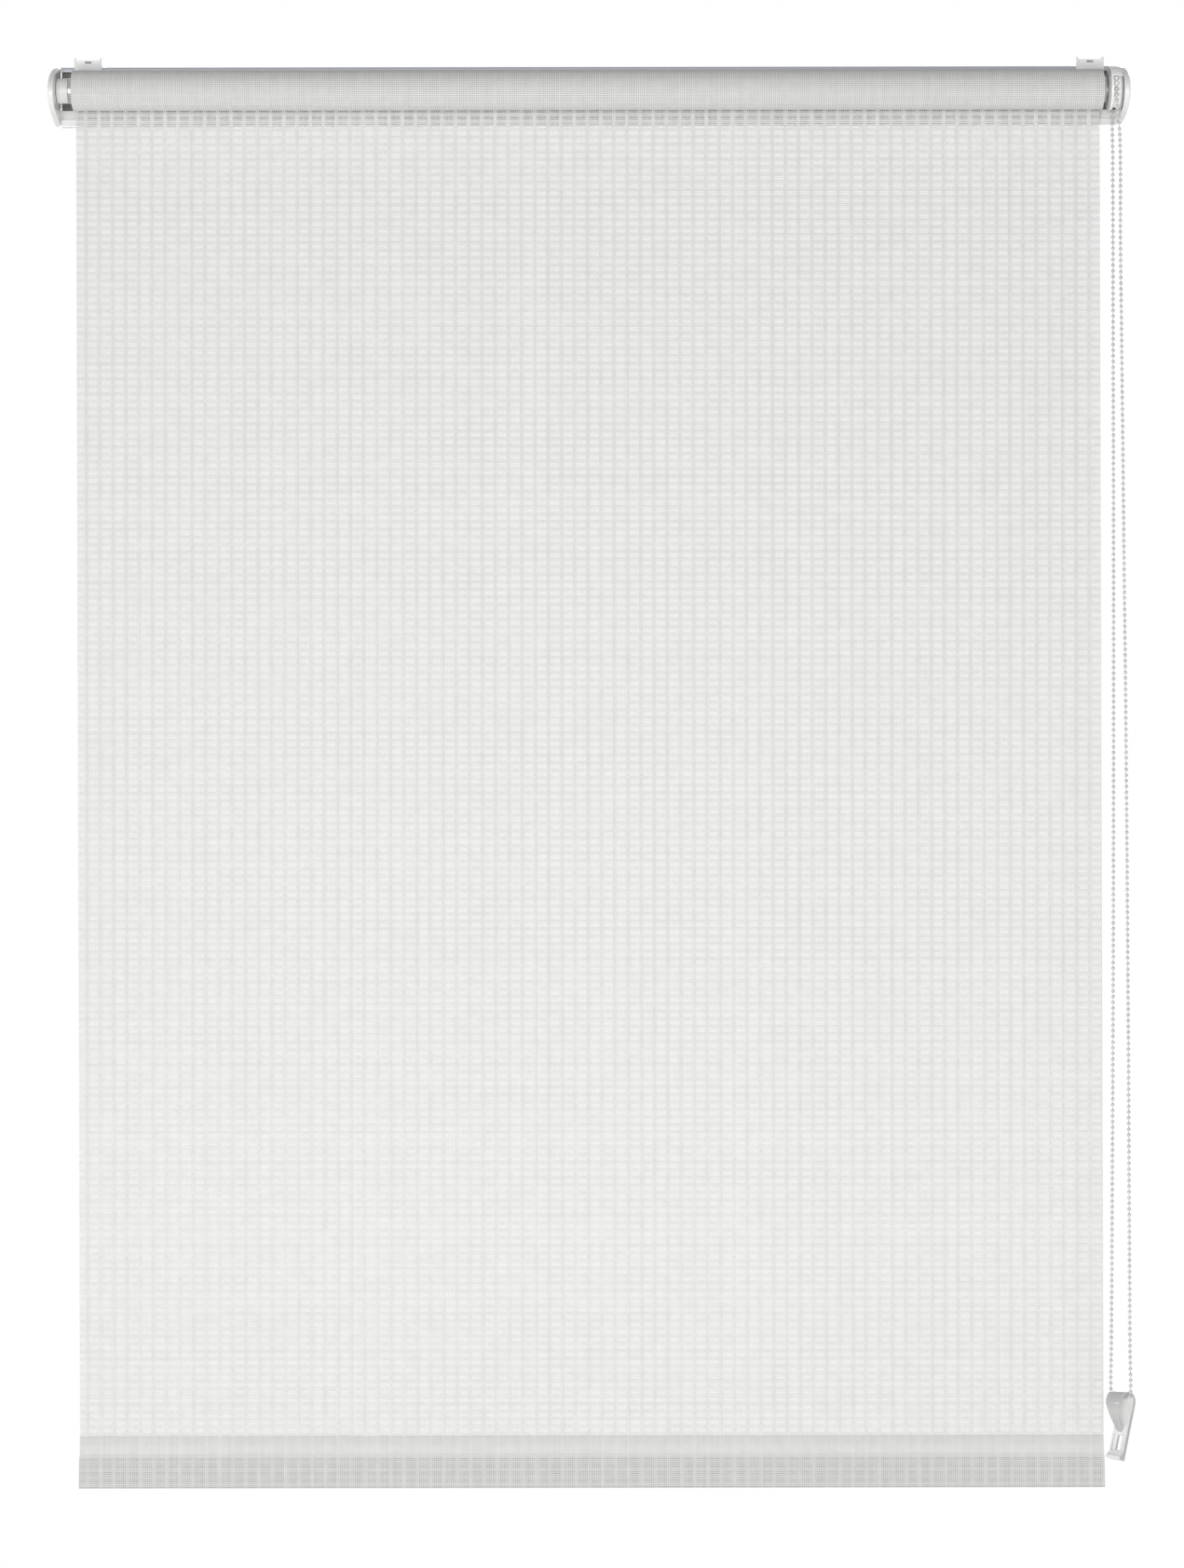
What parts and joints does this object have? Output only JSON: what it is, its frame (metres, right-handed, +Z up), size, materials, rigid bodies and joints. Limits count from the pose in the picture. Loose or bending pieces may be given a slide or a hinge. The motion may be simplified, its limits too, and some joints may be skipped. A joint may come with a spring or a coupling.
{
  "type": "roller blind",
  "caption": "Clamp-on window roller blind: carrier rail, sash clamps, roller with screen cloth, weighted hem, bead chain drive with brake, and chain tensioner.",
  "frame": {"origin": "centre of the rail's back face, which lies against the window sash", "axes": "+Z up, +Y from the room towards the window, +X towards the chain end of the roller"},
  "size_m": [0.7989, 0.0655, 1.0623],
  "materials": {
    "rail_aluminium": "extruded, white-grey satin coat",
    "tube_aluminium": "drawn, bright",
    "bar_aluminium": "extruded flat bar, mill finish",
    "steel": "drawn wire and turned pin",
    "white_plastic": "moulded, soft gloss",
    "clamp_plastic": "moulded, satin",
    "grey_plastic": "moulded, satin",
    "hub_plastic": "glass-filled, matte",
    "wheel_plastic": "moulded, low-friction",
    "bead_plastic": "slightly translucent beads moulded on a cord",
    "tensioner_plastic": "moulded, glossy, slightly translucent",
    "cloth": "open plain-weave screen cloth with a fine check"
  },
  "bodies": {
    "root": {"rail": "rail_aluminium", "side_plate_left": "white_plastic", "side_plate_right": "white_plastic", "drive_hub": "hub_plastic", "hub_cap": "grey_plastic", "wrap_spring_inner": "steel", "wrap_spring_outer": "steel", "chain_guard": "white_plastic", "fabric_panel": "cloth", "bead_chain_front": "bead_plastic", "bead_chain_turn": "bead_plastic", "bead_chain_rear": "bead_plastic", "bead_chain_wrap": "bead_plastic"},
    "roller": {"roller_tube": "tube_aluminium", "wound_fabric": "cloth", "idle_plug": "white_plastic", "drive_plug": "grey_plastic"},
    "idle_pin": {"idle_pin": "steel", "idle_spring": "steel"},
    "chain_wheel": {"chain_wheel": "wheel_plastic"},
    "hem_bar": {"hem_sleeve": "cloth", "bottom_bar": "bar_aluminium", "bar_cap_left": "white_plastic", "bar_cap_right": "white_plastic"},
    "clamp_left": {"clamp_body_left": "clamp_plastic"},
    "clamp_right": {"clamp_body_right": "clamp_plastic"},
    "hook_left": {"clamp_hook_left": "clamp_plastic"},
    "hook_right": {"clamp_hook_right": "clamp_plastic"},
    "tensioner": {"chain_tensioner": "tensioner_plastic"}
  },
  "joints": [
    {"name": "roller_spin", "type": "hinge", "parent": "root", "child": "roller", "pos_m": [0, -0.0245, 0.0012], "axis": [1, 0, 0], "range_deg": [0, 3672]},
    {"name": "chain_wheel_spin", "type": "hinge", "parent": "root", "child": "chain_wheel", "pos_m": [0.3879, -0.0245, 0.0012], "axis": [1, 0, 0], "range_deg": [0, 3672]},
    {"name": "bar_lift", "type": "slide", "parent": "root", "child": "hem_bar", "axis": [0, 0, 1], "range_m": [0, 0.94531], "deforming": ["fabric_panel"]},
    {"name": "clamp_left_slide", "type": "slide", "parent": "root", "child": "clamp_left", "axis": [1, 0, 0], "range_m": [-0.002, 0.33]},
    {"name": "clamp_right_slide", "type": "slide", "parent": "root", "child": "clamp_right", "axis": [-1, 0, 0], "range_m": [-0.002, 0.33]},
    {"name": "hook_left_grip", "type": "slide", "parent": "clamp_left", "child": "hook_left", "axis": [0, 1, 0], "range_m": [-0.009, 0.004]},
    {"name": "hook_right_grip", "type": "slide", "parent": "clamp_right", "child": "hook_right", "axis": [0, 1, 0], "range_m": [-0.009, 0.004]},
    {"name": "idle_pin_slide", "type": "slide", "parent": "roller", "child": "idle_pin", "axis": [1, 0, 0], "range_m": [0, 0.0032], "stiffness_N_per_m": 400, "springref_m": -0.005, "deforming": ["idle_spring"]},
    {"name": "tensioner_swing", "type": "hinge", "parent": "root", "child": "tensioner", "pos_m": [0.3912, -0.0245, -0.9648], "axis": [0.6691, -0.7431, 0], "range_deg": [-25, 25]}
  ],
  "couplings": [
    {"joint": "chain_wheel_spin", "follows": "roller_spin", "ratio": 1},
    {"joint": "bar_lift", "follows": "roller_spin", "m_per_rad": 0.01475}
  ]
}
